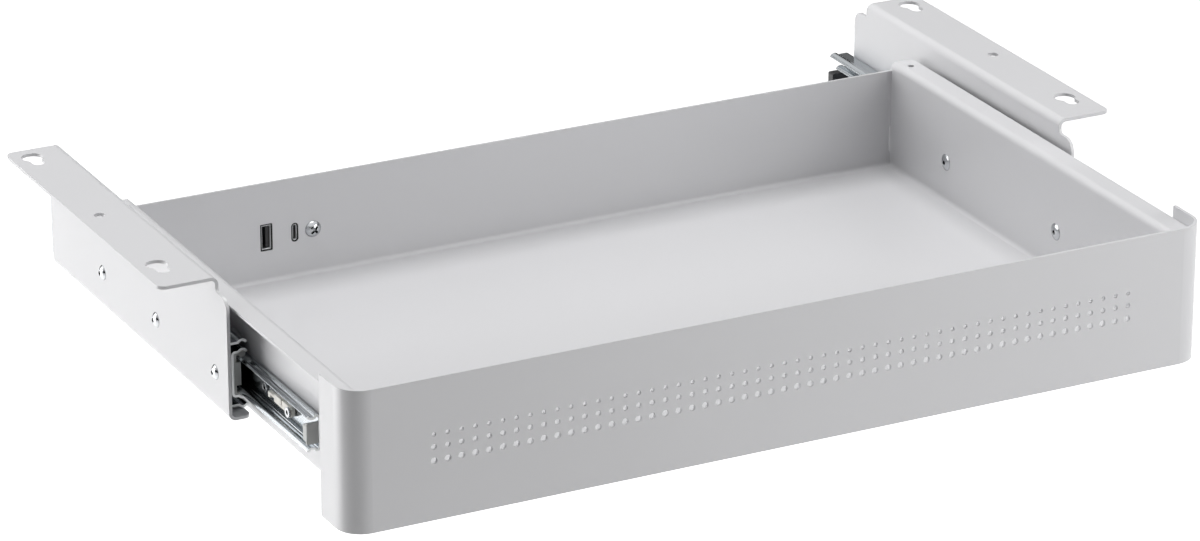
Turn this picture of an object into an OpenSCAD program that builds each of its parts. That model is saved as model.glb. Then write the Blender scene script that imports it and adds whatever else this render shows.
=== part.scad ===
// Under-desk document drawer: a sheet steel tray with a perforated front panel, hung under a desk
// on two folded brackets and two three-section ball slides.
// X runs along the front panel, Y runs to the back and Z runs up. Z = 0 is the desk's underside
// and Y = 0 is the middle hole of the brackets. The drawer is drawn partly open.

/* [Front panel] */
// Width of the front panel
panel_w = 420; // [380:1:600]
// Height of the front panel
panel_h = 65; // [62:0.5:90]
// Sheet thickness of the front panel
panel_t = 1.5; // [1.2:0.1:2.5]
// Outer radius of the panel's rounded upright corners
panel_r = 12; // [6:0.5:16]
// Depth of the panel's side returns, from its front face
return_d = 26; // [20:1:34]
// Gap between the desk and the panel's top edge
desk_gap = 6.3; // [5:0.1:12]

/* [Perforation] */
// Distance from the panel's end to the first column of holes
hole_margin = 40.4; // [25:0.1:80]
// Distance between two columns
hole_pitch = 6.4; // [5:0.1:10]
// Hole diameter in the top row
top_hole_d = 2; // [1.5:0.1:2.6]
// Hole diameter in the middle row
mid_hole_d = 2.5; // [1.5:0.1:3]
// Hole diameter in the bottom row
low_hole_d = 3; // [1.5:0.1:3.4]
// Sheet left between two rows of holes
row_gap = 3.5; // [2:0.1:6]
// Height of the bottom row above the panel's bottom edge
low_row_z = 27.3; // [15:0.1:35]

/* [Tray] */
// Sheet thickness of the tray
tray_t = 1.2; // [1:0.1:1.6]
// Depth from the panel's front face to the rear face of the tray's back wall
tray_d = 260; // [250:1:300]
// Width of the side flanges, from the inner wall face to their outer edge
flange_w = 11.5; // [10.5:0.1:16]
// How far the side flanges lie under the panel's top edge
flange_drop = 5.6; // [2:0.1:9]
// How far the back wall's top lies under the side flanges
back_drop = 4.3; // [2:0.1:10]
// Height of the floor's underside above the panel's bottom edge
floor_rise = 5.5; // [4.6:0.1:6.5]
// Inside radius of the tray's bends
tray_bend_r = 2; // [1:0.1:2.5]
// Radius of the flanges' rear outer corners
flange_corner_r = 5; // [2:0.5:7]
// Diameter of the small hole near the rear end of each flange
flange_hole_d = 3; // [2:0.1:4]
// Distance from the flange's rear end to that hole
flange_hole_back = 9; // [6:0.5:20]
// Width of the tabs that fold behind the back wall
rear_tab_w = 20; // [10:1:40]

/* [USB ports] */
// Distance from the left wall to the middle of the large port
port_x = 65.5; // [40:0.5:120]
// Height of the ports' middle above the floor
port_z = 21.7; // [14:0.1:28]
// Distance from the large port to the small one
port_pitch = 14.2; // [12:0.1:20]
// Distance from the small port to the screw
screw_pitch = 9.2; // [8:0.1:16]
// Width of the large port's shell
usb_a_w = 5.7; // [5:0.1:6]
// Height of the large port's shell
usb_a_h = 12.8; // [12:0.1:14]
// Width of the small port's shell
usb_c_w = 3.2; // [2.8:0.1:3.6]
// Height of the small port's shell
usb_c_h = 8.9; // [8:0.1:10]
// Width of the charger housing behind the back wall
housing_w = 46; // [42:1:70]
// Height of the charger housing
housing_h = 22; // [20:1:28]
// Depth of the charger housing
housing_d = 14; // [12:1:30]
// Head diameter of the charger's screw
usb_head_d = 8; // [6:0.1:9]

/* [Slides] */
// Length of the slides
slide_len = 200; // [180:1:240]
// Height of the slides
slide_h = 32.5; // [30:0.5:36]
// Thickness of the slides, from the tray's wall to the bracket
slide_w = 12.7; // [12.5:0.1:15]
// Height of the slides' middle above the panel's bottom edge
slide_z = 26.1; // [25:0.1:30]
// Sheet thickness of the rails
rail_t = 1.2; // [1:0.1:1.3]
// Diameter of the balls
ball_d = 3; // [2.6:0.1:3.2]
// Balls in each row of a cage
balls_in_row = 10; // [4:1:12]
// Distance from one ball to the next
ball_pitch = 8; // [5:0.5:8.5]
// Distance from the panel's front face to the drawer rail's front end
rail_setback = 51; // [45:1:60]
// How far the drawer stands open as drawn
rest_open = 73; // [10:1:90]
// Head diameter of the rivets that hold the drawer rails
rivet_head_d = 8; // [6:0.1:9]
// Length of the release lever, from its pivot to its tip
lever_len = 22; // [15:1:23]
// Diameter of the release lever's pivot
lever_pin_d = 3; // [2:0.1:3.5]

/* [Brackets] */
// Sheet thickness of the brackets
plate_t = 1.5; // [1.2:0.1:2]
// How much longer the side plates are than the slides
plate_over = 3; // [0:0.5:20]
// Distance of the desk flanges' ends from the side plates' ends
flange_inset = 11.5; // [9:0.5:20]
// Width of the desk flanges, out from the side plate's outer face
desk_flange_w = 26.1; // [24:0.1:45]
// Inside radius of the brackets' bends
plate_bend_r = 2; // [1:0.1:3]
// Distance from the desk down to the side plate's end tabs
tab_drop = 6.6; // [6:0.1:12]
// Radius of the end tabs' upper corners
tab_r = 6; // [2:0.5:8]
// Radius between the desk flange's ends and the end tabs
relief_r = 2; // [0.5:0.1:3]
// Radius of the desk flanges' outer corners
desk_corner_r = 4; // [2:0.5:8]
// Width of the lip under the slide, in from the side plate's outer face
lip_w = 10.4; // [6:0.1:12]
// Radius of the lips' end corners
lip_corner_r = 3; // [1:0.5:5]
// Distance from the side plate's front end to the slide
slide_inset = 7.5; // [2:0.5:9]
// Distance of the desk holes from the flange's outer edge
desk_hole_edge = 9.5; // [8:0.1:16]
// Diameter of the middle hole in each desk flange
desk_hole_d = 5; // [3:0.1:7]
// Diameter of the keyholes' round ends
key_d = 10; // [8:0.1:11]
// Width of the keyholes' slots
key_slot_w = 6; // [4:0.1:6.5]
// Length from the keyholes' round middle to the slot's end middle
key_shift = 7.4; // [5:0.1:9]
// Distance from the flange's front end to the front keyhole's round middle
key_front_in = 25; // [16:0.5:40]
// Distance from the flange's rear end to the rear keyhole's round middle
key_rear_in = 10; // [8:0.5:40]
// Head diameter of the screws in the side plates
plate_head_d = 7; // [5:0.1:8]

/* [Hidden] */
$fn = 48;
LEFT = -1;
RIGHT = 1;

// How far a cutting tool reaches past the sheet that it cuts
past = 1;
// Keeps a count whole when the sizes divide exactly
count_slack = 0.01;

// Gap left where the flanges' edges are welded to the panel
weld_gap = 0.1;
// Gap between the flanges' front corners and the panel's rounded corners
corner_gap = 0.5;
// Width and height of the open slit in each rear corner, and its height above the floor
slit_w = 0.6;
slit_h = 13;
slit_rise = 7;
// Gap between the back wall and the tabs behind it
tab_gap = 0.3;
// Inside radius of the rear tabs' bends
rear_tab_r = 1;
// Play round a screw or rivet in its hole
hole_play = 0.1;
// Play of a ball between its two tracks
ball_play = 0.1;
// Play of the lever on its pin
pin_play = 0.05;
// Gap between two rails or a rail and a cage that pass each other
pass_gap = 0.35;
// Gap between the slide and the bracket's lip
lip_gap = 0.3;
// Play of a socket shell in its cut-out and its pocket
shell_play = 0.2;

// Heights, down from the desk
panel_bottom = -(desk_gap + panel_h);
floor_bottom = panel_bottom + floor_rise;
floor_top = floor_bottom + tray_t;
flange_top = -(desk_gap + flange_drop);
back_top = flange_top - back_drop;
slide_mid = panel_bottom + slide_z;
lip_bottom = slide_mid - slide_h/2 - lip_gap - plate_t;

// Distances out from the middle plane
inner_x = panel_w/2 - panel_t - flange_w;
wall_x = inner_x + tray_t;
plate_x = wall_x + slide_w;
plate_out_x = plate_x + plate_t;
desk_flange_x = plate_out_x + desk_flange_w;
desk_hole_x = desk_flange_x - desk_hole_edge;

// Places along the brackets and the drawer
plate_len = slide_len + plate_over;
flange_len = plate_len - 2*flange_inset;
key_front_y = -flange_len/2 + key_front_in;
key_rear_y = flange_len/2 - key_rear_in;
slide_front = -plate_len/2 + slide_inset;
slide_back = slide_front + slide_len;
drawer_rail_front = slide_front - rest_open;
panel_front = drawer_rail_front - rail_setback;
panel_back = panel_front + panel_t;
tray_rear = panel_front + tray_d;
back_in = tray_rear - tray_t;
flange_short = 1;
flange_end = tray_rear - flange_short;
floor_front = panel_back + tray_t + tray_bend_r;
floor_half = inner_x - tray_bend_r;

// Slide section: distances u out from the tray's wall and heights v from the slide's middle
ball_r = ball_d/2;
track_r = ball_r + ball_play;
curl_r = track_r + rail_t;
curl_gap = 1.4;
ball_u = curl_r + curl_gap;
outer_ball_v = slide_h/2 - curl_r;
middle_top_v = outer_ball_v - track_r;
inner_ball_v = middle_top_v - curl_r;
channel_v = inner_ball_v - curl_r;
curl_angle = 65;
track_angle = 50;
track_lap = 5;
track_start = 90 - track_angle - track_lap;
track_rise = curl_r*cos(track_angle);
track_u = sqrt(pow(track_r, 2) - pow(track_rise - rail_t, 2));
drawer_top_v = inner_ball_v - track_rise + rail_t;
rail_bend_least = 0.4;
rail_bend_r = max(plate_bend_r - rail_t, rail_bend_least);
cage_t = 0.5;
inner_cage_u = ball_u + curl_r + pass_gap;
middle_web_u = inner_cage_u + cage_t + pass_gap;
outer_cage_u = middle_web_u + rail_t + pass_gap;
cabinet_web_u = slide_w - rail_t;

// Rails, cages and buffers along Y
buffer_t = 4.5;
buffer_r = 0.8;
buffer_end_gap = 1;
buffer_gap = 0.5;
middle_front = slide_front;
middle_back = slide_back - buffer_end_gap - buffer_t - buffer_gap;
drawer_rail_back = drawer_rail_front + middle_back - slide_front;
cage_len = balls_in_row*ball_pitch;
cage_hole_play = 0.15;
cage_edge = 0.7;
outer_cage_mid = (middle_front + middle_back)/2;
inner_cage_mid = outer_cage_mid - rest_open/2;

// Screws and rivets
screw_r = 2;
plate_head_h = 1.8;
plate_screw_y = [6.5, 72.5, 134.5];
rivet_y = [54.7, 154.7];
rivet_r = 2;
rivet_head_h = 1.2;
rivet_tail_r = 2.4;
rivet_tail_h = 1;
mandrel_r = 1.1;
mandrel_depth = 2.4;
tail_hole_depth = 1.5;

// Release lever
lever_y = 25.4;
lever_t = 2;
lever_h = 5;
lever_lift = 0.4;
lever_head_gap = 0.2;
lever_head_r = 2.3;
lever_head_h = 0.8;
lever_hole_r = 1;
lever_hole_depth = 1.6;
lever_grip_h = 3.4;
lever_grip_l = 7;
lever_waist_h = 2.8;

// Front buffers
front_buffer_len = 4;
front_buffer_v = 4.9;
front_buffer_u = 6.7;

// Stops in the middle rails
stop_len = 3.5;
stop_u = 4.9;
stop_v = 5.4;
stop_arm_t = 0.9;

// Charger
usb_a_x = -inner_x + port_x;
usb_c_x = usb_a_x + port_pitch;
usb_screw_x = usb_c_x + screw_pitch;
usb_z = floor_top + port_z;
shell_t = 0.3;
shell_recess = 0.3;
pocket_d = 10;
usb_a_tongue_t = 1.8;
usb_a_tongue_short = 1.2;
usb_c_tongue_t = 0.7;
usb_c_tongue_side = 1;
tongue_recess = 1.3;
tongue_shift = 0.9;
housing_r = 3;
housing_left = 9.5;
usb_head_h = 2.2;
usb_screw_len = 8;
recess_w = 1.1;
recess_l = 4.4;
recess_d = 1.3;

// Draws its children on the right, or mirrored on the left
module on_side(side) {
    if (side < 0) mirror([1, 0, 0]) children();
    else children();
}

// Carries a slide section from y_front to y_back: its first axis points away from the tray
module rail_run(y_front, y_back)
    translate([wall_x, y_back, slide_mid]) rotate([90, 0, 0]) linear_extrude(y_back - y_front) children();

// Carries a section drawn in X and Z from y_front to y_back
module along_y(y_front, y_back)
    translate([0, y_back, 0]) rotate([90, 0, 0]) linear_extrude(y_back - y_front) children();

// Carries a section drawn in Y and Z from x_low to x_high
module along_x(x_low, x_high)
    translate([x_low, 0, 0]) rotate([90, 0, 90]) linear_extrude(x_high - x_low) children();

// A quarter of a bend in sheet of thickness t, starting at the given angle
module bend_2d(r, t, start)
    rotate(start) intersection() {
        difference() {
            circle(r + t);
            circle(r);
        }
        square(r + t);
    }

// A part of a ring from one angle to another, less than half a turn
module arc_2d(r, t, from, to)
    intersection() {
        difference() {
            circle(r + t);
            circle(r);
        }
        polygon([[0, 0], 3*(r + t)*[cos(from), sin(from)],
                 4*(r + t)*[cos((from + to)/2), sin((from + to)/2)], 3*(r + t)*[cos(to), sin(to)]]);
    }

// What rounding removes from a corner at the origin, whose sides run along +X and +Y
module corner_cut_2d(r)
    difference() {
        translate([-past, -past]) square(r + past);
        translate([r, r]) circle(r);
    }

module round_rect_2d(w, h, r) {
    square([w - 2*r, h], center = true);
    square([w, h - 2*r], center = true);
    for (x = [-1, 1], y = [-1, 1]) translate([x*(w/2 - r), y*(h/2 - r)]) circle(r);
}

// A domed disc of radius r and height h, standing on Z = 0
module dome(r, h) {
    ball = (r*r + h*h)/(2*h);
    rotate_extrude() intersection() {
        translate([0, h - ball]) circle(ball);
        square([r, h]);
    }
}

// A round bar or hole along X, from x_low to x_high
module bar_x(r, x_low, x_high)
    translate([x_low, 0, 0]) rotate([0, 90, 0]) cylinder(r = r, h = x_high - x_low);

// A round bar or hole along Y, from y_low to y_high
module bar_y(r, y_low, y_high)
    translate([0, y_high, 0]) rotate([90, 0, 0]) cylinder(r = r, h = y_high - y_low);

// Brackets

// Round hole for a screw's head, with a slot to the front for its shank
module keyhole() {
    translate([0, 0, -plate_t - past]) {
        cylinder(d = key_d, h = plate_t + 2*past);
        translate([0, -key_shift, 0]) cylinder(d = key_slot_w, h = plate_t + 2*past);
        translate([-key_slot_w/2, -key_shift, 0]) cube([key_slot_w, key_shift, plate_t + 2*past]);
    }
}

// Lip, lower bend and side plate in section, up to the end tabs' top
module plate_section_2d() {
    low_z = lip_bottom + plate_t + plate_bend_r;
    translate([plate_x, low_z]) square([plate_t, -tab_drop - low_z]);
    translate([plate_x - plate_bend_r, low_z]) bend_2d(plate_bend_r, plate_t, -90);
    translate([plate_out_x - lip_w, lip_bottom]) square([lip_w - plate_t - plate_bend_r, plate_t]);
}

// Upper bend and desk flange in section, down into the side plate
module desk_flange_section_2d() {
    bend_z = -plate_t - plate_bend_r;
    translate([plate_x, -tab_drop - tab_r]) square([plate_t, tab_drop + tab_r + bend_z]);
    translate([plate_out_x + plate_bend_r, bend_z]) bend_2d(plate_bend_r, plate_t, 90);
    translate([plate_out_x + plate_bend_r, -plate_t]) square([desk_flange_w - plate_bend_r, plate_t]);
}

module bracket(side)
    color("gainsboro") on_side(side) difference() {
        union() {
            along_y(-plate_len/2, plate_len/2) plate_section_2d();
            along_y(-flange_len/2, flange_len/2) desk_flange_section_2d();
            for (end = [0, 1]) mirror([0, end, 0]) translate([0, flange_len/2, -tab_drop])
                along_x(plate_x, plate_out_x) corner_cut_2d(relief_r);
        }
        for (end = [0, 1]) mirror([0, end, 0]) {
            translate([0, plate_len/2, -tab_drop]) along_x(plate_x - past, plate_out_x + past)
                rotate(180) corner_cut_2d(tab_r);
            translate([desk_flange_x, flange_len/2, -plate_t - past]) linear_extrude(plate_t + 2*past)
                rotate(180) corner_cut_2d(desk_corner_r);
            translate([plate_out_x - lip_w, plate_len/2, lip_bottom - past])
                linear_extrude(plate_t + 2*past) rotate(-90) corner_cut_2d(lip_corner_r);
        }
        translate([desk_hole_x, 0, -plate_t - past]) cylinder(d = desk_hole_d, h = plate_t + 2*past);
        translate([desk_hole_x, key_front_y, 0]) keyhole();
        translate([desk_hole_x, key_rear_y, 0]) keyhole();
        for (y = plate_screw_y) translate([0, slide_front + y, slide_mid])
            bar_x(screw_r + hole_play, plate_x - past, plate_out_x + past);
    }

module bracket_screws(side)
    color("silver") on_side(side) for (y = plate_screw_y)
        translate([plate_out_x, slide_front + y, slide_mid]) rotate([0, 90, 0]) difference() {
            union() {
                dome(plate_head_d/2, plate_head_h);
                translate([0, 0, -plate_t - rail_t]) cylinder(r = screw_r, h = plate_t + rail_t);
            }
            translate([0, 0, plate_head_h - recess_d/2]) for (turn = [0, 90]) rotate(turn)
                translate([-recess_l/4, -recess_w/2, 0]) cube([recess_l/2, recess_w, recess_d]);
        }

// Slides

// Fills a rail's outline from low_u to high_u, with its two corners at high_u rounded
module rail_fill_2d(low_u, high_u, half_v, r)
    intersection() {
        translate([high_u - slide_w, 0]) round_rect_2d(2*slide_w, 2*half_v, r);
        translate([low_u, -half_v - past]) square([high_u - low_u + past, 2*half_v + 2*past]);
    }

// A rail's section, opening towards the tray: web, bends, flat lips and tracks pressed round the balls
// from one angle to another. out_u is the web's outer face and top_v the flat lips' outer face.
module channel_2d(out_u, top_v, ball_v, from, to) {
    lip_u = ball_u + track_u;
    difference() {
        rail_fill_2d(lip_u, out_u, top_v, rail_bend_r + rail_t);
        rail_fill_2d(lip_u - past, out_u - rail_t, top_v - rail_t, rail_bend_r);
    }
    for (way = [0, 1]) mirror([0, way]) translate([ball_u, ball_v]) arc_2d(track_r, rail_t, from, to);
}

module cabinet_rail(side)
    color("lightsteelblue") on_side(side) difference() {
        rail_run(slide_front, slide_back)
            channel_2d(slide_w, outer_ball_v + track_rise, outer_ball_v, track_start, 90 + curl_angle);
        for (y = plate_screw_y) translate([wall_x, slide_front + y, slide_mid])
            bar_x(screw_r + hole_play, cabinet_web_u - past, slide_w + past);
    }

module middle_rail(side)
    color("silver") on_side(side) rail_run(middle_front, middle_back)
        channel_2d(middle_web_u + rail_t, inner_ball_v + track_rise, inner_ball_v,
                   track_start, 90 + curl_angle);

// Moulded stop in the front end of a middle rail: it plugs the ball tracks and reaches into the drawer rail
module middle_stop(side) {
    half_v = inner_ball_v + stop_arm_t/2;
    plate_u = inner_cage_u - pass_gap;
    color("gray") on_side(side) rail_run(middle_front, middle_front + stop_len) {
        intersection() {
            rail_fill_2d(0, middle_web_u, half_v, rail_bend_r);
            union() {
                translate([stop_u, -stop_v]) square([slide_w - stop_u, 2*stop_v]);
                translate([plate_u, -inner_ball_v]) square([slide_w - plate_u, 2*inner_ball_v]);
                for (way = [0, 1]) mirror([0, way]) translate([ball_u, half_v - stop_arm_t])
                    square([slide_w - ball_u, stop_arm_t]);
            }
        }
        for (way = [-1, 1]) translate([ball_u, way*inner_ball_v]) circle(ball_r);
    }
}

module drawer_rail(side)
    color("lightsteelblue") on_side(side) difference() {
        rail_run(drawer_rail_front, drawer_rail_back)
            translate([2*ball_u, 0]) mirror([1, 0])
                channel_2d(2*ball_u, drawer_top_v, inner_ball_v, -90 - curl_angle, -track_start);
        for (y = rivet_y) translate([wall_x, drawer_rail_front + y, slide_mid])
            bar_x(rivet_r + hole_play, -past, rail_t + past);
        translate([wall_x, drawer_rail_front + lever_y, slide_mid])
            bar_x(lever_pin_d/2 + pin_play, -past, rail_t + past);
    }

// Ball places along a cage whose middle is at mid_y
function ball_places(mid_y) =
    [for (i = [0:balls_in_row - 1]) mid_y + (i - (balls_in_row - 1)/2)*ball_pitch];

// A strip bent to a channel, with one row of ball holes in each of its two flanks
module cage(side, web_u, ball_v, mid_y)
    color("dimgray") on_side(side) difference() {
        rail_run(mid_y - cage_len/2, mid_y + cage_len/2) {
            translate([web_u, -ball_v - cage_t/2]) square([cage_t, 2*ball_v + cage_t]);
            for (way = [-1, 1]) translate([ball_u - track_r - cage_edge, way*ball_v - cage_t/2])
                square([web_u + cage_t - ball_u + track_r + cage_edge, cage_t]);
        }
        for (y = ball_places(mid_y), way = [-1, 1])
            translate([wall_x + ball_u, y, slide_mid + way*ball_v - cage_t])
                cylinder(r = ball_r + cage_hole_play, h = 2*cage_t);
    }

module balls(side, ball_v, mid_y)
    color("white") on_side(side) for (y = ball_places(mid_y), way = [-1, 1])
        translate([wall_x + ball_u, y, slide_mid + way*ball_v]) sphere(ball_r);

module rear_buffer(side) {
    low_u = pass_gap;
    high_v = channel_v + rail_t;
    color("dimgray") on_side(side)
        rail_run(slide_back - buffer_end_gap - buffer_t, slide_back - buffer_end_gap)
            translate([(low_u + cabinet_web_u)/2, 0])
                round_rect_2d(cabinet_web_u - low_u, 2*high_v, buffer_r);
}

module front_buffer(side)
    color("gray") on_side(side)
        rail_run(drawer_rail_front, drawer_rail_front + front_buffer_len)
            translate([(rail_t + front_buffer_u)/2, 0])
                round_rect_2d(front_buffer_u - rail_t, 2*front_buffer_v, buffer_r);

// Blind rivets: a domed head inside the tray and a set tail on the rail
module rail_rivets(side)
    color("silver") on_side(side) for (y = rivet_y)
        translate([inner_x, drawer_rail_front + y, slide_mid]) rotate([0, -90, 0]) difference() {
            union() {
                dome(rivet_head_d/2, rivet_head_h);
                translate([0, 0, -tray_t - rail_t]) cylinder(r = rivet_r, h = tray_t + rail_t);
                translate([0, 0, -tray_t - rail_t - rivet_tail_h])
                    cylinder(r = rivet_tail_r, h = rivet_tail_h);
            }
            translate([0, 0, rivet_head_h - mandrel_depth])
                cylinder(r = mandrel_r, h = mandrel_depth + past);
            translate([0, 0, -tray_t - rail_t - rivet_tail_h - past])
                cylinder(r = mandrel_r, h = tail_hole_depth + past);
        }

// The lever's pivot: a tubular pin in the drawer rail's web, with a head over the lever
module lever_pin(side) {
    head_u = rail_t + lever_lift + lever_t + lever_head_gap;
    color("silver") on_side(side)
    translate([wall_x, drawer_rail_front + lever_y, slide_mid]) difference() {
        union() {
            bar_x(lever_pin_d/2, 0, head_u);
            bar_x(lever_head_r, head_u, head_u + lever_head_h);
        }
        bar_x(lever_hole_r, head_u + lever_head_h - lever_hole_depth, head_u + lever_head_h + past);
    }
}

// The lever's outline in Y and Z, with its pivot at the origin and its tip to the rear
module lever_2d() {
    circle(d = lever_h);
    translate([0, -lever_waist_h/2]) square([lever_len - lever_h/2, lever_waist_h]);
    translate([lever_len - lever_h/2, 0]) circle(d = lever_h);
    translate([lever_h/2, -lever_grip_h/2]) square([lever_grip_l, lever_grip_h]);
}

module release_lever(side)
    color("dimgray") on_side(side)
    translate([wall_x, drawer_rail_front + lever_y, slide_mid]) difference() {
        along_x(rail_t + lever_lift, rail_t + lever_lift + lever_t) lever_2d();
        bar_x(lever_pin_d/2 + pin_play, rail_t, rail_t + lever_lift + lever_t + past);
    }

// Drawer

// Top of a side wall, top bend and flange in section, on the right
module flange_section_2d() {
    bend_z = flange_top - tray_t - tray_bend_r;
    translate([inner_x, back_top - past]) square([tray_t, bend_z - back_top + past]);
    translate([wall_x + tray_bend_r, bend_z]) bend_2d(tray_bend_r, tray_t, 90);
    translate([wall_x + tray_bend_r, flange_top - tray_t])
        square([flange_w - tray_t - tray_bend_r - weld_gap, tray_t]);
}

// Block with rounded lower edges at the sides and the back, as large as the tray or inset from it
module tray_block(inset, front, top) {
    half_w = wall_x - inset;
    rear = tray_rear - inset;
    low_z = floor_bottom + inset;
    edge_r = tray_bend_r + tray_t - inset;
    intersection() {
        along_y(front, rear) {
            translate([-half_w, low_z + edge_r]) square([2*half_w, top - low_z - edge_r]);
            translate([-half_w + edge_r, low_z]) square([2*half_w - 2*edge_r, edge_r]);
            for (way = [-1, 1]) translate([way*(half_w - edge_r), low_z + edge_r]) circle(edge_r);
        }
        along_x(-half_w, half_w) {
            translate([front, low_z + edge_r]) square([rear - front, top - low_z - edge_r]);
            translate([front, low_z]) square([rear - front - edge_r, edge_r]);
            translate([rear - edge_r, low_z + edge_r]) circle(edge_r);
        }
    }
}

// Plan of the panel's outer or inner outline: its front corners are rounded
module panel_outline_2d(half_w, front, depth, r) {
    translate([-half_w, front + r]) square([2*half_w, depth - r]);
    translate([-half_w + r, front]) square([2*half_w - 2*r, depth]);
    for (way = [-1, 1]) translate([way*(half_w - r), front + r]) circle(r);
}

module tray_flange(side)
    on_side(side) intersection() {
        along_y(panel_back, flange_end) flange_section_2d();
        translate([0, 0, back_top - past]) linear_extrude(flange_top - back_top + past) difference() {
            panel_outline_2d(panel_w/2 - panel_t - weld_gap, panel_back + weld_gap, tray_d,
                             panel_r - panel_t + corner_gap);
            translate([inner_x + flange_w - weld_gap, flange_end]) rotate(180)
                corner_cut_2d(flange_corner_r);
        }
    }

// Tab on the side wall's rear edge, folded in behind the back wall above the corner slit
module rear_tab(side) {
    tab_low = floor_top + slit_rise + slit_h;
    tab_high = back_top - tray_bend_r;
    tab_front = tray_rear + tab_gap;
    on_side(side) translate([0, 0, tab_low]) linear_extrude(tab_high - tab_low) {
        translate([inner_x - rear_tab_r, tab_front - rear_tab_r]) bend_2d(rear_tab_r, tray_t, 0);
        translate([inner_x, back_in]) square([tray_t, tab_front - rear_tab_r - back_in]);
        translate([inner_x - rear_tab_w, tab_front]) square([rear_tab_w - rear_tab_r, tray_t]);
    }
}

// Floor, side walls and back wall, folded from one sheet
module tray_box()
    difference() {
        tray_block(0, panel_back, back_top);
        tray_block(tray_t, panel_back - past, back_top + past);
    }

// Everything between two distances from the middle plane, on the right, as high as the tray
module tray_zone(x_low, x_high, front)
    translate([x_low, front, floor_bottom - past])
        cube([x_high - x_low, tray_rear + past - front, back_top - floor_bottom + 2*past]);

module usb_cuts(play, y_low, y_high) {
    translate([usb_a_x, y_low, usb_z]) translate([-usb_a_w/2 - play, 0, -usb_a_h/2 - play])
        cube([usb_a_w + 2*play, y_high - y_low, usb_a_h + 2*play]);
    along_y(y_low, y_high) translate([usb_c_x, usb_z])
        round_rect_2d(usb_c_w + 2*play, usb_c_h + 2*play, usb_c_w/2 + play - count_slack);
}

// Floor between the side bends, and the back wall: the floor's front edge is bent down
module tray_pan()
    color("gainsboro") difference() {
        union() {
            intersection() {
                tray_box();
                tray_zone(-floor_half, floor_half, floor_front);
            }
            along_x(-floor_half, floor_half) {
                translate([floor_front, floor_bottom - tray_bend_r]) bend_2d(tray_bend_r, tray_t, 90);
                translate([panel_back, panel_bottom + past])
                    square([tray_t, floor_rise - tray_bend_r - past]);
            }
        }
        usb_cuts(shell_play, back_in - past, tray_rear + past);
        translate([usb_screw_x, 0, usb_z]) bar_y(screw_r + hole_play, back_in - past, tray_rear + past);
    }

// Side bend, wall, flange and rear tab of one side: the same sheet as the pan, which they touch
module tray_wall(side)
    color("gainsboro") difference() {
        union() {
            intersection() {
                tray_box();
                on_side(side) tray_zone(floor_half, wall_x + past, panel_back - past);
            }
            tray_flange(side);
            rear_tab(side);
        }
        on_side(side) {
            translate([inner_x - slit_w, back_in - past, floor_top + slit_rise])
                cube([slit_w, tray_t + 2*past, slit_h]);
            for (y = rivet_y) translate([0, drawer_rail_front + y, slide_mid])
                bar_x(rivet_r + hole_play, inner_x - past, wall_x + past);
            translate([inner_x + flange_w/2, flange_end - flange_hole_back, flange_top - tray_t - past])
                cylinder(d = flange_hole_d, h = tray_t + 2*past);
        }
    }

module perforation() {
    columns = floor((panel_w - 2*hole_margin)/hole_pitch + count_slack) + 1;
    mid_row_z = low_row_z + low_hole_d/2 + row_gap + mid_hole_d/2;
    top_row_z = mid_row_z + mid_hole_d/2 + row_gap + top_hole_d/2;
    rows = [[low_row_z, low_hole_d], [mid_row_z, mid_hole_d], [top_row_z, top_hole_d]];
    for (column = [0:columns - 1], row = rows)
        translate([(column - (columns - 1)/2)*hole_pitch, 0, panel_bottom + row[0]])
            bar_y(row[1]/2, panel_front - past, panel_back + past);
}

module front_panel()
    color("lightgray") difference() {
        translate([0, 0, panel_bottom]) linear_extrude(panel_h) difference() {
            panel_outline_2d(panel_w/2, panel_front, return_d, panel_r);
            panel_outline_2d(panel_w/2 - panel_t, panel_back, return_d, panel_r - panel_t);
        }
        perforation();
    }

// Charger

module usb_housing()
    color("darkslategray") difference() {
        along_y(tray_rear, tray_rear + housing_d)
            translate([usb_a_x - housing_left + housing_w/2, usb_z])
                round_rect_2d(housing_w, housing_h, housing_r);
        usb_cuts(shell_play, tray_rear - past, tray_rear + pocket_d);
        translate([usb_screw_x, 0, usb_z])
            bar_y(screw_r + hole_play, tray_rear - past, tray_rear + pocket_d);
    }

module usb_a_shell()
    color("silver") along_y(back_in + shell_recess, tray_rear + pocket_d) translate([usb_a_x, usb_z])
        difference() {
            square([usb_a_w, usb_a_h], center = true);
            square([usb_a_w - 2*shell_t, usb_a_h - 2*shell_t], center = true);
        }

module usb_a_tongue()
    color("dimgray") translate([usb_a_x + tongue_shift - usb_a_tongue_t/2, back_in + tongue_recess,
                                usb_z - usb_a_h/2 + usb_a_tongue_short])
        cube([usb_a_tongue_t, tray_t - tongue_recess + pocket_d, usb_a_h - 2*usb_a_tongue_short]);

module usb_c_shell()
    color("silver") along_y(back_in + shell_recess, tray_rear + pocket_d) translate([usb_c_x, usb_z])
        difference() {
            round_rect_2d(usb_c_w, usb_c_h, usb_c_w/2 - count_slack);
            round_rect_2d(usb_c_w - 2*shell_t, usb_c_h - 2*shell_t, usb_c_w/2 - shell_t - count_slack);
        }

module usb_c_tongue()
    color("dimgray") translate([usb_c_x - usb_c_tongue_t/2, back_in + tongue_recess,
                                usb_z - usb_c_h/2 + usb_c_tongue_side])
        cube([usb_c_tongue_t, tray_t - tongue_recess + pocket_d, usb_c_h - 2*usb_c_tongue_side]);

module usb_screw()
    color("silver") translate([usb_screw_x, back_in, usb_z]) rotate([90, 0, 0]) difference() {
        union() {
            dome(usb_head_d/2, usb_head_h);
            translate([0, 0, -usb_screw_len]) cylinder(r = screw_r, h = usb_screw_len);
        }
        translate([0, 0, usb_head_h - recess_d]) for (turn = [45, 135]) rotate(turn)
            translate([-recess_l/2, -recess_w/2, 0]) cube([recess_l, recess_w, recess_d + past]);
    }

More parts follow.
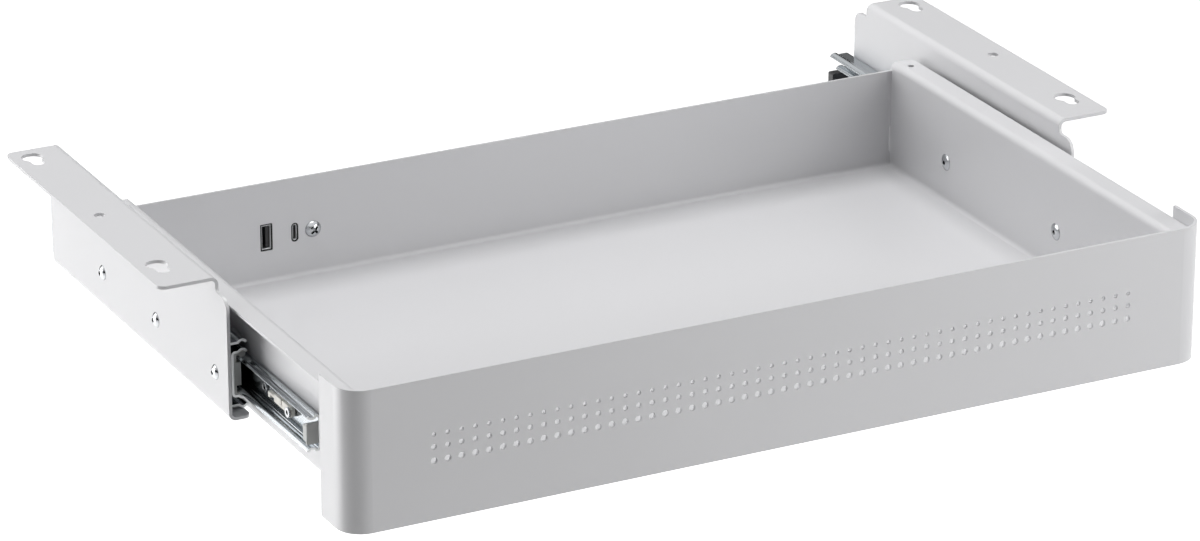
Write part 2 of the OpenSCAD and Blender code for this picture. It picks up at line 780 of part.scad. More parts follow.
bracket(LEFT);  // left_bracket
bracket(RIGHT);  // right_bracket
bracket_screws(LEFT);  // left_bracket_screws
bracket_screws(RIGHT);  // right_bracket_screws
cabinet_rail(LEFT);  // left_cabinet_rail
cabinet_rail(RIGHT);  // right_cabinet_rail
rear_buffer(LEFT);  // left_rear_buffer
rear_buffer(RIGHT);  // right_rear_buffer
middle_rail(LEFT);  // left_middle_rail
middle_rail(RIGHT);  // right_middle_rail
middle_stop(LEFT);  // left_middle_stop
middle_stop(RIGHT);  // right_middle_stop
cage(LEFT, outer_cage_u, outer_ball_v, outer_cage_mid);  // left_outer_cage
cage(RIGHT, outer_cage_u, outer_ball_v, outer_cage_mid);  // right_outer_cage
balls(LEFT, outer_ball_v, outer_cage_mid);  // left_outer_balls
balls(RIGHT, outer_ball_v, outer_cage_mid);  // right_outer_balls
cage(LEFT, inner_cage_u, inner_ball_v, inner_cage_mid);  // left_inner_cage
cage(RIGHT, inner_cage_u, inner_ball_v, inner_cage_mid);  // right_inner_cage
balls(LEFT, inner_ball_v, inner_cage_mid);  // left_inner_balls
balls(RIGHT, inner_ball_v, inner_cage_mid);  // right_inner_balls
tray_pan();
tray_wall(LEFT);  // left_tray_wall
tray_wall(RIGHT);  // right_tray_wall
front_panel();
drawer_rail(LEFT);  // left_drawer_rail
drawer_rail(RIGHT);  // right_drawer_rail
rail_rivets(LEFT);  // left_rail_rivets
rail_rivets(RIGHT);  // right_rail_rivets
front_buffer(LEFT);  // left_front_buffer
front_buffer(RIGHT);  // right_front_buffer
lever_pin(LEFT);  // left_lever_pin
lever_pin(RIGHT);  // right_lever_pin
release_lever(LEFT);  // left_release_lever
release_lever(RIGHT);  // right_release_lever
usb_housing();
usb_a_shell();
usb_a_tongue();
usb_c_shell();
usb_c_tongue();
usb_screw();
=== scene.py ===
# %% [markdown]
# # An under-desk document drawer, dressed for its portrait
# The object is a shallow drawer of folded sheet steel, hung under a desk on two brackets and two
# ball slides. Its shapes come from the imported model, so this lesson is mostly about finishes:
# powder coat, plated steel and moulded plastic. A few pieces in the slides and charging ports
# are drawn finer than the model has them. Everything is in metres and in the frame of the
# model: X along the front, Y to the back, Z up, with the desk's underside at Z = 0.

# %% Load the frame
from math import cos, radians, sin

import bmesh
import bpy
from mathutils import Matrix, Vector


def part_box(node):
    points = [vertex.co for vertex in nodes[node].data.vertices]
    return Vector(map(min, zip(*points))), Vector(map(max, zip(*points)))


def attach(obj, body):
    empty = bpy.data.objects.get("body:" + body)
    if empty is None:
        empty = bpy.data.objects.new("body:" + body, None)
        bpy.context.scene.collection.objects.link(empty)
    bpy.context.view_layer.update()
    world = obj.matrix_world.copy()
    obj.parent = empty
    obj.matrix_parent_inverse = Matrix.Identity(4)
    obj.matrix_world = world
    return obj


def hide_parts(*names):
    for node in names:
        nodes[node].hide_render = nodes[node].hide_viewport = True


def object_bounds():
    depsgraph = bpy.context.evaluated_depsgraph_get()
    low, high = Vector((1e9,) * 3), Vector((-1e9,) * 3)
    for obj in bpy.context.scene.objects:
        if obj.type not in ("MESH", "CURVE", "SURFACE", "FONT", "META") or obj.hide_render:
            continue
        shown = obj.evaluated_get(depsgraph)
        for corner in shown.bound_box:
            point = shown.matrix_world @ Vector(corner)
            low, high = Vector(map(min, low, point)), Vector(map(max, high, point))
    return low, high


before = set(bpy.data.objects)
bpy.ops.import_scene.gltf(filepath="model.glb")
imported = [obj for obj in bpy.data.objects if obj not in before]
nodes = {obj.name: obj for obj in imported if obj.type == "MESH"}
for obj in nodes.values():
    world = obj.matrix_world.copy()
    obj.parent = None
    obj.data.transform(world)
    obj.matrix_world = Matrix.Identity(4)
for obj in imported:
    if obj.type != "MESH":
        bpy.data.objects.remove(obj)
MM = 0.001
SIDES = ("left", "right")
cad_bounds = [list(corner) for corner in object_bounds()]
print("CAD box in metres:", cad_bounds)

# %% [markdown]
# ## The camera
# The photograph was taken from the front left, a little above the drawer, with a long lens that
# keeps the tray's edges nearly parallel. The lens and place below were found by fitting the
# drawer's own edges to the picture. The picture's middle is the lens's middle, so nothing is
# shifted. A camera can be aimed with a constraint, but two plain angles are easier to read.

# %% Camera
SENSOR_MM = 36.0
LENS_MM = 168.29
VIEW_AZIMUTH = -27.0
VIEW_ELEVATION = 22.13
PLACE_MM = (-1077.9, -2152.9, 910.4)
FAR_CLIP_M = 60.0

camera_data = bpy.data.cameras.new("portrait_camera")
camera_data.sensor_width = SENSOR_MM
camera_data.lens = LENS_MM
camera_data.clip_end = FAR_CLIP_M
camera = bpy.data.objects.new("portrait_camera", camera_data)
camera.location = [distance * MM for distance in PLACE_MM]
camera.rotation_euler = (radians(90 - VIEW_ELEVATION), 0, radians(VIEW_AZIMUTH))
bpy.context.scene.collection.objects.link(camera)
bpy.context.scene.camera = camera
bpy.context.scene.view_settings.view_transform = "Standard"
print("camera stands", round(camera.location.length, 3), "m from the desk holes")

# %% [markdown]
# ## Nodes and colours
# A finish is a small tree of shader nodes. It could be built by hand in the shader editor, but
# one function that adds a node, sets its values and wires its inputs lets each material below
# read like a recipe. Colours are written as the hex values that a paint chart would give.
# Blender works in linear light, so one function converts them.

# %% Nodes and colours
def linear(hex_value):
    """An sRGB hex colour as linear red, green, blue and alpha."""
    channels = [int(hex_value[i:i + 2], 16) / 255 for i in (1, 3, 5)]
    return [c / 12.92 if c <= 0.04045 else ((c + 0.055) / 1.055) ** 2.4 for c in channels] + [1.0]


def add(tree, kind, settings=None, links=None):
    """Adds a node. Settings name its properties or inputs, and links name its inputs."""
    node = tree.nodes.new(kind)
    for name, value in (settings or {}).items():
        if isinstance(name, int) or name in node.inputs:
            node.inputs[name].default_value = value
        else:
            setattr(node, name, value)
    for name, source in (links or {}).items():
        tree.links.new(source, node.inputs[name])
    return node


def new_material(name, base, **shader):
    """A material with one Principled shader, whose plain values are set on its own sockets."""
    material = bpy.data.materials.new(name)
    material.use_nodes = True
    material.diffuse_color = linear(base)
    tree = material.node_tree
    tree.nodes.clear()
    surface = add(tree, "ShaderNodeBsdfPrincipled", {"Base Color": linear(base), **shader})
    add(tree, "ShaderNodeOutputMaterial", links={"Surface": surface.outputs[0]})
    return material, tree, surface


print("paint grey in linear light:", [round(c, 3) for c in linear("#D5D5D7")])

# %% [markdown]
# ## Patterns and soft edges
# No real surface is quite even. A noise stands for grain, grit and rolling lines, and the size
# of its grains is given in millimetres. The same noise tilts the shading through a Bump node,
# and a Bevel node rounds the shading at edges. Displacement could move the surface itself, but
# these reliefs are hundredths of a millimetre deep. A Mix node keeps separate sockets for
# colours and for plain numbers under the same names, so they are picked by their place.

# %% Patterns and soft edges
MIX_PLACES = {"RGBA": (6, 2), "FLOAT": (2, 0)}


def mix(tree, kind, factor, ends):
    """Mixes two ends, each a plain value or a node's output. The kind is RGBA or FLOAT."""
    first, result = MIX_PLACES[kind]
    node = add(tree, "ShaderNodeMix", {"data_type": kind}, {0: factor})
    for i, end in enumerate(ends):
        if isinstance(end, bpy.types.NodeSocket):
            tree.links.new(end, node.inputs[first + i])
        else:
            node.inputs[first + i].default_value = end
    return node.outputs[result]


def wire(tree, surface, links):
    """Links outputs to a shader's inputs, which are given by name."""
    for name, source in links.items():
        tree.links.new(source, surface.inputs[name])


def noise(tree, place, size_mm, detail):
    """A noise whose grains are about that large."""
    return add(tree, "ShaderNodeTexNoise", {"Scale": 1 / (size_mm * MM), "Detail": detail},
               {"Vector": place}).outputs["Fac"]


def rounded(tree, radius_mm, samples):
    """A normal that is shaded as if every edge were rounded."""
    return add(tree, "ShaderNodeBevel",
               {"samples": samples, "Radius": radius_mm * MM}).outputs[0]


def bump(tree, height, normal, strength, deep_mm):
    """A normal tilted by a height."""
    return add(tree, "ShaderNodeBump", {"Strength": strength, "Distance": deep_mm * MM},
               {"Height": height, "Normal": normal}).outputs[0]


print("a noise with grains of 2 mm has scale", round(1 / (2 * MM)))

# %% [markdown]
# ## Powder-coated steel
# The tray, front and brackets are cold-rolled sheet with a baked epoxy-polyester powder. Baked
# powder flows into a skin about 0.08 mm thick: matt, with a faint orange peel some 2 mm from
# hill to hill, and it rounds every cut edge. The peel is a soft noise used as bump. The rounded
# edges could be modelled, but the Bevel node rounds only the shading, which is enough for an
# edge radius of a third of a millimetre and keeps the sheet's true outline. Powder grains are
# some 0.05 mm and would vanish, so the grit is drawn at half a millimetre. The film's
# thickness drifts over some hundred millimetres, and its tone with it. The resin's smooth top
# is a clear coat, which draws the fine bright line along each bend.

# %% Powder coat
PEEL_MM = 2.2
PEEL_DEEP_MM = 0.12
GRIT_MM = 0.45
GRIT_DEEP_MM = 0.04
CLOUD_MM = 1000 / 9
EDGE_MM = 0.35
SMOOTHEST, ROUGHEST = 0.40, 0.50
CLEAR_COAT = {"Coat Weight": 0.5, "Coat Roughness": 0.14}


def powder_coat(name, base, shade):
    material, tree, surface = new_material(name, base, Roughness=0.42, IOR=1.5, **CLEAR_COAT)
    place = add(tree, "ShaderNodeTexCoord").outputs["Object"]
    peel = noise(tree, place, PEEL_MM, detail=1.0)
    grit = noise(tree, place, GRIT_MM, detail=0.0)
    cloud = noise(tree, place, CLOUD_MM, detail=2.0)
    edge = rounded(tree, EDGE_MM, samples=6)
    hills = bump(tree, peel, edge, strength=0.10, deep_mm=PEEL_DEEP_MM)
    grains = bump(tree, grit, hills, strength=0.10, deep_mm=GRIT_DEEP_MM)
    matt = add(tree, "ShaderNodeMapRange", {"To Min": SMOOTHEST, "To Max": ROUGHEST},
               {"Value": grit})
    tone = mix(tree, "RGBA", cloud, (linear(base), linear(shade)))
    wire(tree, surface, {"Base Color": tone, "Roughness": matt.outputs[0], "Normal": grains})
    return material


light_grey_coat = powder_coat("light_grey_powder_coat", "#D5D5D7", "#D1D1D3")
print(light_grey_coat.name, "has", len(light_grey_coat.node_tree.nodes), "nodes")

# %% [markdown]
# ## Plated steel
# The slides are rolled from steel strip and plated with bright zinc. Rolling leaves fine lines
# along the rail, so the highlight smears across it. An anisotropic shader could smear it too,
# but a noise pulled out along Y also varies the colour and the gloss. Real rolling lines are a
# few hundredths of a millimetre wide and would vanish, so they are drawn at half a millimetre.
# Screws, rivets, socket shells and balls have other platings and a noise without a direction.

# %% Plated steel
ROLLING_MM = 0.5
LINE_DEEP_MM = 0.03
PULLED_OUT = (1, 0.02, 1)


def plated_steel(name, base, shade, matt, spacing_mm, stretch=(1, 1, 1)):
    """Bright metal whose roughness varies between the two values of matt."""
    material, tree, surface = new_material(name, base, Metallic=1.0, Roughness=matt[0])
    place = add(tree, "ShaderNodeTexCoord").outputs["Object"]
    along = add(tree, "ShaderNodeMapping", {"Scale": stretch}, {"Vector": place})
    lines = noise(tree, along.outputs[0], spacing_mm, detail=3.0)
    gloss = add(tree, "ShaderNodeMapRange", {"To Min": matt[0], "To Max": matt[1]},
                {"Value": lines})
    edge = rounded(tree, EDGE_MM, samples=6)
    relief = bump(tree, lines, edge, strength=0.15, deep_mm=LINE_DEEP_MM)
    tone = mix(tree, "RGBA", lines, (linear(base), linear(shade)))
    wire(tree, surface, {"Base Color": tone, "Roughness": gloss.outputs[0], "Normal": relief})
    return material


zinc_plate = plated_steel("bright_zinc_plated_steel", "#C6CACD", "#A9AEB2", (0.10, 0.24),
                          ROLLING_MM, PULLED_OUT)
nickel_plate = plated_steel("nickel_plated_steel", "#CFD1D3", "#B4B6B9", (0.10, 0.24), 0.8)
tinned_shell = plated_steel("tin_plated_shell_steel", "#D9DADB", "#C6C8CA", (0.28, 0.42), 0.5)
bearing_steel = plated_steel("polished_bearing_steel", "#D5D7DA", "#CBCDD0", (0.04, 0.08), 1.0)
print("plated steels:", zinc_plate.name, nickel_plate.name, tinned_shell.name,
      bearing_steel.name)

# %% [markdown]
# ## Sheared ends and recesses
# The rails are cut to length after rolling, so their ends, the faces that are square to Y, are
# matt, and their tone is raised as painted light for what those faces reflect. Cross slots and
# the joint under a screw's or rivet's head are darkened as painted shade, where the Ambient
# Occlusion node finds them closed in. Both could be painted on a map by hand, but a rule fits
# every piece at once.

# %% Sheared ends and recesses
RECESS_REACH_MM = 1.4
RECESS_CLOSED, RECESS_OPEN = 0.55, 0.95
SQUARE_FROM, SQUARE_TO = 0.90, 0.96


def plain_finish(material):
    """A material's tree and shader, with what its colour and roughness are linked to now."""
    tree = material.node_tree
    surface = next(node for node in tree.nodes if node.type == "BSDF_PRINCIPLED")
    return (tree, surface, surface.inputs["Base Color"].links[0].from_socket,
            surface.inputs["Roughness"].links[0].from_socket)


def shade_recesses(material, painted_shade_tone):
    """Darkens recesses, bores and the joint round a head as painted shade."""
    tree, surface, tone, _ = plain_finish(material)
    hollow = add(tree, "ShaderNodeAmbientOcclusion",
                 {"samples": 8, "Distance": RECESS_REACH_MM * MM}).outputs["AO"]
    is_open = add(tree, "ShaderNodeMapRange",
                  {"From Min": RECESS_CLOSED, "From Max": RECESS_OPEN}, {"Value": hollow})
    # Painted shade: closed-in places take the dark tone.
    shaded = mix(tree, "RGBA", is_open.outputs[0], (linear(painted_shade_tone), tone))
    wire(tree, surface, {"Base Color": shaded})


def matt_ends(material, painted_light_end_tone, end_rough):
    """Makes faces square to Y, sheared to length, matt and lighter as painted light."""
    tree, surface, tone, rough = plain_finish(material)
    facing = add(tree, "ShaderNodeSeparateXYZ",
                 links={0: add(tree, "ShaderNodeTexCoord").outputs["Normal"]})
    along = add(tree, "ShaderNodeMath", {"operation": "ABSOLUTE"}, {0: facing.outputs["Y"]})
    square_to_y = add(tree, "ShaderNodeMapRange", {"From Min": SQUARE_FROM, "From Max": SQUARE_TO},
                  {"Value": along.outputs[0]}).outputs[0]
    # Painted light: faces square to Y take the lighter end tone.
    wire(tree, surface, {"Base Color": mix(tree, "RGBA", square_to_y, (tone, linear(painted_light_end_tone))),
                         "Roughness": mix(tree, "FLOAT", square_to_y, (rough, end_rough))})


# The rail ends are matt, with a lighter tone painted in for the light they reflect.
matt_ends(zinc_plate, "#F2F3F3", end_rough=0.72)
# Painted shade in the nickel's cross slots and round its heads.
shade_recesses(nickel_plate, "#17181A")
print([(steel.name, len(steel.node_tree.nodes)) for steel in (zinc_plate, nickel_plate)])

# %% [markdown]
# ## Moulded plastics
# Cages, rear buffers and socket tongues are black nylon, the stops and end caps grey acetal and
# the levers ivory acetal. Moulding copies the fine spark-eroded grain of the tool, so the
# surface is matt with a pebble of a few tenths of a millimetre. The charger's housing is ABS
# with a coarser grain. An image of real grain could be wrapped round each piece, but a noise
# needs no wrapping and is sharp at any size.

# %% Plastics
PEBBLE_DEEP_MM = 0.03
MOULD_EDGE_MM = 0.3


def moulded_plastic(name, base, shade, rough, ior, grain_mm):
    material, tree, surface = new_material(name, base, Roughness=rough, IOR=ior)
    place = add(tree, "ShaderNodeTexCoord").outputs["Object"]
    grain = noise(tree, place, grain_mm, detail=2.0)
    edge = rounded(tree, MOULD_EDGE_MM, samples=4)
    pebble = bump(tree, grain, edge, strength=0.25, deep_mm=PEBBLE_DEEP_MM)
    tone = mix(tree, "RGBA", grain, (linear(base), linear(shade)))
    wire(tree, surface, {"Base Color": tone, "Normal": pebble})
    return material


# Name, colour, colour in the grain, roughness, refractive index, grain in mm.
plastics = [moulded_plastic(*recipe) for recipe in (
    ("black_glass_filled_nylon", "#0C0C0D", "#090909", 0.60, 1.45, 0.3),
    ("black_moulded_nylon", "#1B1C1E", "#141516", 0.42, 1.53, 0.3),
    ("grey_acetal", "#BDBEBC", "#B2B3B1", 0.38, 1.48, 0.3),
    ("ivory_moulded_acetal", "#E2DFD8", "#D6D3CB", 0.34, 1.48, 0.3),
    ("charger_housing_abs", "#2A2B2D", "#232426", 0.50, 1.54, 0.5),
)]
socket_black, black_nylon, grey_acetal, ivory_acetal, charger_abs = plastics
print("plastics:", [plastic.name for plastic in plastics])

# %% [markdown]
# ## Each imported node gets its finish
# The solids are already the real shapes, so a finish is all they need. Each node's object gets
# one material and its mesh is left as it is. Materials could be given face by face, but here
# every piece is made of a single stuff. What comes in pairs is listed once for both sides.

# %% Assign the finishes
FINISHES = {
    "tray_pan": light_grey_coat, "front_panel": light_grey_coat, "usb_screw": nickel_plate,
    "usb_a_shell": tinned_shell, "usb_c_shell": tinned_shell,
    "usb_a_tongue": black_nylon, "usb_c_tongue": black_nylon, "usb_housing": charger_abs,
}
PAIRED = {
    light_grey_coat: ("bracket", "tray_wall"),
    zinc_plate: ("cabinet_rail", "middle_rail", "drawer_rail"),
    bearing_steel: ("outer_balls", "inner_balls"),
    black_nylon: ("outer_cage", "inner_cage", "rear_buffer"),
    nickel_plate: ("bracket_screws", "rail_rivets", "lever_pin"),
    grey_acetal: ("front_buffer", "middle_stop", "release_lever"),
}
for material, pieces in PAIRED.items():
    FINISHES.update({side + "_" + piece: material for side in SIDES for piece in pieces})


def set_finish(piece, material):
    piece.data.materials.clear()
    piece.data.materials.append(material)


for name, piece in nodes.items():
    set_finish(piece, FINISHES[name])
print(len(nodes), "nodes have a finish")

# %% [markdown]
# ## Shapes drawn as outlines
# The last pieces are moulded. A mould's halves part along the slide's width, so each piece is an
# outline pushed straight through and softened at its edges. A flat outline is extruded with
# bmesh and a Bevel modifier rounds it, which keeps the outline's own points easy to read. A
# subdivision surface would need many more points to hold these short straight sides.

# %% Extruded outlines
BEVEL_STEPS = 3
SHARP_ANGLE = 40


def new_piece(name, shape):
    """Turns a bmesh into an object of the scene."""
    mesh = bpy.data.meshes.new(name)
    shape.to_mesh(mesh)
    shape.free()
    piece = bpy.data.objects.new(name, mesh)
    bpy.context.scene.collection.objects.link(piece)
    return piece


def moulding(name, outlines, low_x, high_x, edge):
    """Outlines of (y, z) points, the outer one first and then its holes, pushed along X."""
    sweep = bmesh.new()
    rims = {low_x: [], high_x: []}
    for outline in outlines:
        near, far = ([sweep.verts.new((x, y, z)) for y, z in outline] for x in rims)
        for i in range(len(outline)):
            j = (i + 1) % len(outline)
            wall = sweep.faces.new((near[i], near[j], far[j], far[i]))
            rims[low_x].append(sweep.edges.get((near[i], near[j])))
            rims[high_x].append(sweep.edges.get((far[i], far[j])))
            wall.smooth = True
    for rim in rims.values():
        bmesh.ops.triangle_fill(sweep, use_beauty=True, edges=rim)
    bmesh.ops.recalc_face_normals(sweep, faces=sweep.faces)
    piece = new_piece(name, sweep)
    bevel = piece.modifiers.new("moulded_edges", "BEVEL")
    bevel.width = edge
    bevel.segments = BEVEL_STEPS
    bevel.angle_limit = radians(SHARP_ANGLE)
    return piece


def arc(y, z, radius, start, end, steps):
    """Points of an arc in Y and Z, with its angles in degrees from +Y towards +Z."""
    turns = [radians(start + (end - start) * i / steps) for i in range(steps + 1)]
    return [(y + radius * cos(turn), z + radius * sin(turn)) for turn in turns]


print("a quarter arc has", len(arc(0, 0, 1, 0, 90, 10)), "points")

# %% [markdown]
# ## Release levers
# A ball slide comes apart when a small lever in the drawer rail is pressed. On the real slide it
# is one moulding of ivory acetal: an eye round the pivot, a flat grip with a slot that lets it
# spring, and a thin tail that ends in a hook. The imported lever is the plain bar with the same
# eye and length, so this one stands for it and turns with the same body.

# %% Release levers
# Radii of the eye and its hole, with the turn of each arc: start, end and steps. The rest are
# distances from the pivot along Y, heights from the bar's middle, and two widths.
EYE_MM = 2.5
EYE_TURN = (90, 330, 14)
PIVOT_HOLE_MM = 1.6
HOLE_TURN = (0, 345, 23)
GRIP_LOW_MM = 1.1
GRIP_MM = 15.6
SLOT_MM = 7.4
SLOT_W_MM = 0.9
SLOT_END_MM = 0.2
TAIL_LOW_MM = 0.3
TAIL_HIGH_MM = 1.5
HOOK_MM = 2.2
LEVER_EDGE_MM = 0.2


def release_lever(side):
    low, high = (Vector(corner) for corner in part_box(side + "_release_lever"))
    middle = (low.z + high.z) / 2
    pivot = low.y + EYE_MM * MM
    tip = (high.y - pivot) / MM
    slot_far = SLOT_MM + SLOT_W_MM
    outline = arc(pivot, middle, EYE_MM * MM, *EYE_TURN)
    outline += [(pivot + y * MM, middle + z * MM) for y, z in (
        (GRIP_MM, -GRIP_LOW_MM), (GRIP_MM, TAIL_LOW_MM), (tip - HOOK_MM, TAIL_LOW_MM),
        (tip - HOOK_MM, -GRIP_LOW_MM), (tip, -GRIP_LOW_MM), (tip, TAIL_HIGH_MM),
        (GRIP_MM, TAIL_HIGH_MM), (GRIP_MM, EYE_MM), (slot_far, EYE_MM),
        (slot_far, -SLOT_END_MM), (SLOT_MM, -SLOT_END_MM), (SLOT_MM, EYE_MM))]
    eye = arc(pivot, middle, PIVOT_HOLE_MM * MM, *HOLE_TURN)
    lever = moulding(side + "_lever_moulding", [outline, eye], low.x, high.x, LEVER_EDGE_MM * MM)
    set_finish(lever, ivory_acetal)
    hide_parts(side + "_release_lever")
    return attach(lever, side + "_lever")


levers = [release_lever(side) for side in SIDES]
print("levers:", [lever.name for lever in levers])

# %% [markdown]
# ## End caps of the drawer rails
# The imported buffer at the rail's front end is a plain block. The real cap is a thin rounded
# plate that hides the rail's cut edge, with a narrower plug behind it that the rail grips, so
# light falls past its sides into the rail.

# %% End caps
PLATE_MM = 1.3
PLUG_IN_MM = 1.2
CAP_EDGE_MM = 0.3


def end_cap(side):
    low, high = (Vector(corner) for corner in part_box(side + "_front_buffer"))
    plate_end = low.y + PLATE_MM * MM
    inset = PLUG_IN_MM * MM
    outline = [(low.y, low.z), (plate_end, low.z),
               (plate_end, low.z + inset), (high.y, low.z + inset),
               (high.y, high.z - inset), (plate_end, high.z - inset),
               (plate_end, high.z), (low.y, high.z)]
    cap = moulding(side + "_rail_end_cap", [outline], low.x, high.x, CAP_EDGE_MM * MM)
    set_finish(cap, grey_acetal)
    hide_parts(side + "_front_buffer")
    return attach(cap, "drawer")


caps = [end_cap(side) for side in SIDES]
print("caps:", [cap.name for cap in caps])

# %% [markdown]
# ## Socket fronts
# In each cut-out sits a socket: a black moulded frame, and inside it a folded tin-plated shell
# whose rim is rolled over to guide the plug. The rolled rim is what catches the light, as one
# fine bright line at the top and right. Both are lofted ring by ring: every ring is the same
# rounded rectangle, grown or shrunk a little, so a rim is only a short list of steps.

# %% Socket fronts
# How far the frame reaches past the shell's box, how thick it is, and the depth of its front,
# which stands before the box. Then the rim's thickness and the depth of its roll.
FRAME_PLAY_MM = 0.18
FRAME_MM = 0.66
FRAME_FRONT_MM = -0.15
RIM_MM = 0.42
ROLL_MM = 0.3
ROLL_STARTS, ROLL_ENDS = 0.3 * RIM_MM, 0.7 * RIM_MM
CORNERS_MM = {"usb_a": 0.35, "usb_c": 1.5}
LEAST_CORNER_MM = 0.15
CORNER_STEPS = 6
SEAM_MM = 0.001


def rounded_ring(middle, half_w, half_h, radius, y):
    """Points round a rounded rectangle in X and Z, at one depth."""
    points = []
    for sign_x, sign_z, start in ((1, 1, 0), (-1, 1, 90), (-1, -1, 180), (1, -1, 270)):
        for i in range(CORNER_STEPS + 1):
            turn = radians(start + 90 * i / CORNER_STEPS)
            points.append((middle.x + sign_x * (half_w - radius) + radius * cos(turn), y,
                           middle.z + sign_z * (half_h - radius) + radius * sin(turn)))
    return points


def loft_rings(name, node, corner_mm, stations, material):
    """Joins rings round a node's box into a closed band, whose last station repeats the first.

    A station is how far its ring grows past the box and how deep it lies, in mm. None is the back.
    """
    low, high = (Vector(corner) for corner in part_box(node))
    middle = (low + high) / 2
    loft = bmesh.new()
    rings = []
    for grow_mm, depth_mm in stations:
        half_w, half_h = (size / 2 + grow_mm * MM for size in (high.x - low.x, high.z - low.z))
        radius = max(corner_mm + grow_mm, LEAST_CORNER_MM) * MM
        y = high.y if depth_mm is None else low.y + depth_mm * MM
        ring = rounded_ring(middle, half_w, half_h, radius, y)
        rings.append([loft.verts.new(point) for point in ring])
    for near, far in zip(rings, rings[1:]):
        for i in range(len(near)):
            j = (i + 1) % len(near)
            loft.faces.new((near[i], near[j], far[j], far[i]))
    bmesh.ops.remove_doubles(loft, verts=loft.verts, dist=SEAM_MM * MM)
    bmesh.ops.recalc_face_normals(loft, faces=loft.faces)
    piece = new_piece(name, loft)
    set_finish(piece, material)
    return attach(piece, "drawer")


def socket_front(socket):
    node = socket + "_shell"
    corner_mm = CORNERS_MM[socket]
    inside = FRAME_PLAY_MM - FRAME_MM
    straight = ((FRAME_PLAY_MM, None), (FRAME_PLAY_MM, FRAME_FRONT_MM),
                (inside, FRAME_FRONT_MM), (inside, None), (FRAME_PLAY_MM, None))
    rolled = ((inside, None), (inside, ROLL_MM), (inside - ROLL_STARTS, 0),
              (inside - ROLL_ENDS, 0), (inside - RIM_MM, ROLL_MM), (inside - RIM_MM, None),
              (inside, None))
    bezel = loft_rings(socket + "_frame", node, corner_mm, straight, socket_black)
    shell = loft_rings(socket + "_rolled_shell", node, corner_mm, rolled, tinned_shell)
    for face in shell.data.polygons:
        face.use_smooth = True
    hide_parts(node)
    return [bezel, shell]


fronts = [piece for socket in CORNERS_MM for piece in socket_front(socket)]
print("socket fronts:", [piece.name for piece in fronts])

# %% [markdown]
# ## White paper floor
# The photograph is a cut-out on pure white, and the drawer hangs under a desk, so the floor lies
# a desk's height below it. Strong light on the paper would make it white, but would also fill
# the shadows under the tray. So the paper glows only where camera, glossy and transmission rays
# meet it, which adds no light to a matt surface.

# %% White paper floor
FLOOR_DROP = 0.70
FLOOR_HALF = 15.0
PAPER_GLOW = 0.85
WHITE = (1, 1, 1, 1)


def white_to_eye(tree):
    """One where a camera, glossy or transmission ray looks, and nought for any other ray."""
    ray = add(tree, "ShaderNodeLightPath").outputs
    direct = add(tree, "ShaderNodeMath", {"operation": "MAXIMUM"},
                 {0: ray["Is Camera Ray"], 1: ray["Is Transmission Ray"]})
    return add(tree, "ShaderNodeMath", {"operation": "MAXIMUM"},
               {0: direct.outputs[0], 1: ray["Is Glossy Ray"]}).outputs[0]


sheet = bmesh.new()
bmesh.ops.create_grid(sheet, x_segments=1, y_segments=1, size=FLOOR_HALF)
floor = new_piece("studio_floor", sheet)
floor.location.z = cad_bounds[0][2] - FLOOR_DROP

paper = bpy.data.materials.new("white_studio_paper")
paper.use_nodes = True
paper_tree = paper.node_tree
paper_tree.nodes.clear()
paper_matt = add(paper_tree, "ShaderNodeBsdfDiffuse", {"Color": linear("#E6E6E6")})
paper_glow = add(paper_tree, "ShaderNodeEmission", {"Color": WHITE, "Strength": PAPER_GLOW})
paper_lit = add(paper_tree, "ShaderNodeAddShader",
                links={0: paper_matt.outputs[0], 1: paper_glow.outputs[0]})
paper_mix = add(paper_tree, "ShaderNodeMixShader",
                links={0: white_to_eye(paper_tree), 1: paper_matt.outputs[0],
                       2: paper_lit.outputs[0]})
add(paper_tree, "ShaderNodeOutputMaterial", links={"Surface": paper_mix.outputs[0]})
floor.data.materials.append(paper)
print("the floor lies at Z =", round(floor.location.z, 3))

# %% [markdown]
# ## White surroundings with a flag
# The world is white to the eye in the same way, and gives a matt surface only a faint fill. Low
# in the sky, glossy rays see a dark band instead, like the black flags that a photographer
# stands beside shiny metal: in plain white the plated rails would lose their form. Real cards
# could stand there, but a band in the sky serves every direction and casts no shadow.

# %% World
WORLD_FILL = 0.05
FLAG_TOP = 0.30
FLAG_FADE = 0.25
FLAG_GREY = 0.02

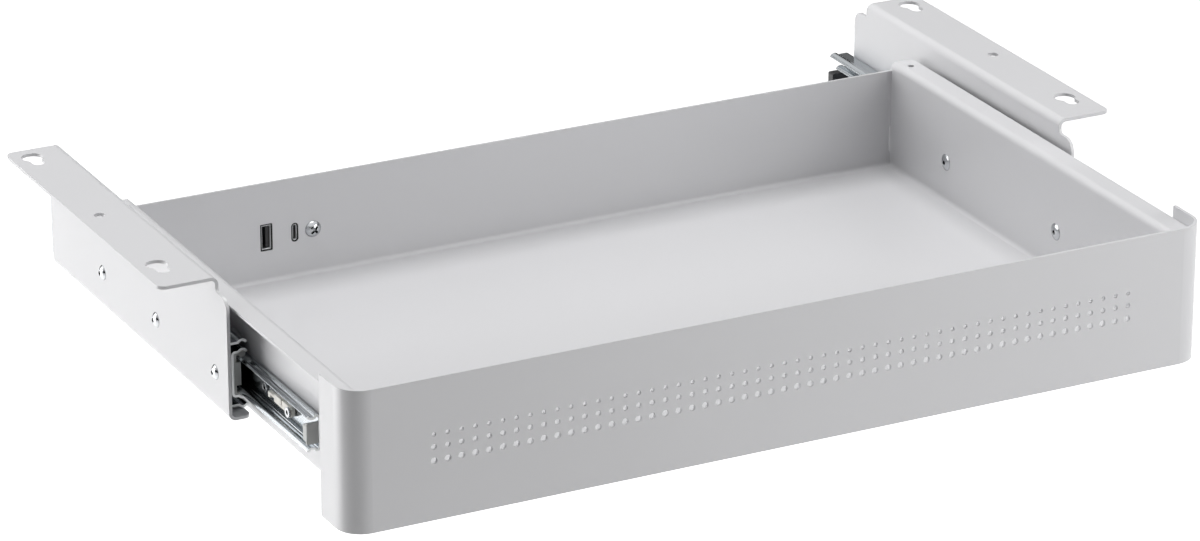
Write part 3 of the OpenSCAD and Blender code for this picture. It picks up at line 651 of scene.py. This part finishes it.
world = bpy.data.worlds.new("studio_air")
bpy.context.scene.world = world
world.use_nodes = True
air = world.node_tree
air.nodes.clear()
fill = add(air, "ShaderNodeBackground", {"Color": WHITE, "Strength": WORLD_FILL})
white = add(air, "ShaderNodeBackground", {"Color": WHITE, "Strength": 1.0})
air_mix = add(air, "ShaderNodeMixShader",
              links={0: white_to_eye(air), 1: fill.outputs[0], 2: white.outputs[0]})
look = add(air, "ShaderNodeTexCoord").outputs["Generated"]
height = add(air, "ShaderNodeSeparateXYZ", links={0: look}).outputs["Z"]
flag = add(air, "ShaderNodeMapRange", {"From Min": FLAG_TOP, "From Max": FLAG_TOP + FLAG_FADE,
                                       "To Min": FLAG_GREY, "To Max": 1.0}, {"Value": height})
card = add(air, "ShaderNodeBackground", {"Color": WHITE}, {"Strength": flag.outputs[0]})
shine_mix = add(air, "ShaderNodeMixShader",
                links={0: add(air, "ShaderNodeLightPath").outputs["Is Glossy Ray"],
                       1: air_mix.outputs[0], 2: card.outputs[0]})
add(air, "ShaderNodeOutputWorld", links={"Surface": shine_mix.outputs[0]})
print(world.name, "has", len(air.nodes), "nodes")

# %% [markdown]
# ## Four soft boxes
# One lamp behind and to the left brightens what faces up and left, and a low one lights the
# sides that face left. One in front and to the right gives the perforated front its gradient and
# leaves a dark band on the rounded corner. The largest share comes from overhead, onto the
# tray's floor and the desk flanges. Spots could be used, but large squares give the photograph's
# soft shadows and broad highlights.

# %% Soft boxes
AIM = Vector((0, -0.08, -0.04))


def soft_box(name, direction, distance, size, watts):
    """A square lamp that far from the drawer's middle in that direction, facing it."""
    data = bpy.data.lights.new(name, "AREA")
    data.shape = "SQUARE"
    data.size = size
    data.energy = watts
    lamp = bpy.data.objects.new(name, data)
    towards = Vector(direction).normalized()
    lamp.location = AIM + towards * distance
    lamp.rotation_euler = (-towards).to_track_quat("-Z", "Y").to_euler()
    bpy.context.scene.collection.objects.link(lamp)
    return lamp


# Name, direction, distance in metres, size in metres, power in watts.
lamps = [
    soft_box("soft_box_back_left", (-0.6, 0.6, 0.53), 2.6, 1.8, 17),
    soft_box("soft_box_low_left", (-0.85, 0.5, -0.05), 1.7, 1.4, 18.5),
    soft_box("soft_box_front_right", (0.80, -1.0, 0.3), 1.3, 1.0, 11.2),
    soft_box("soft_box_overhead", (0.0, 0.15, 1.0), 2.4, 1.8, 52),
]
print([(lamp.name, lamp.data.energy) for lamp in lamps])
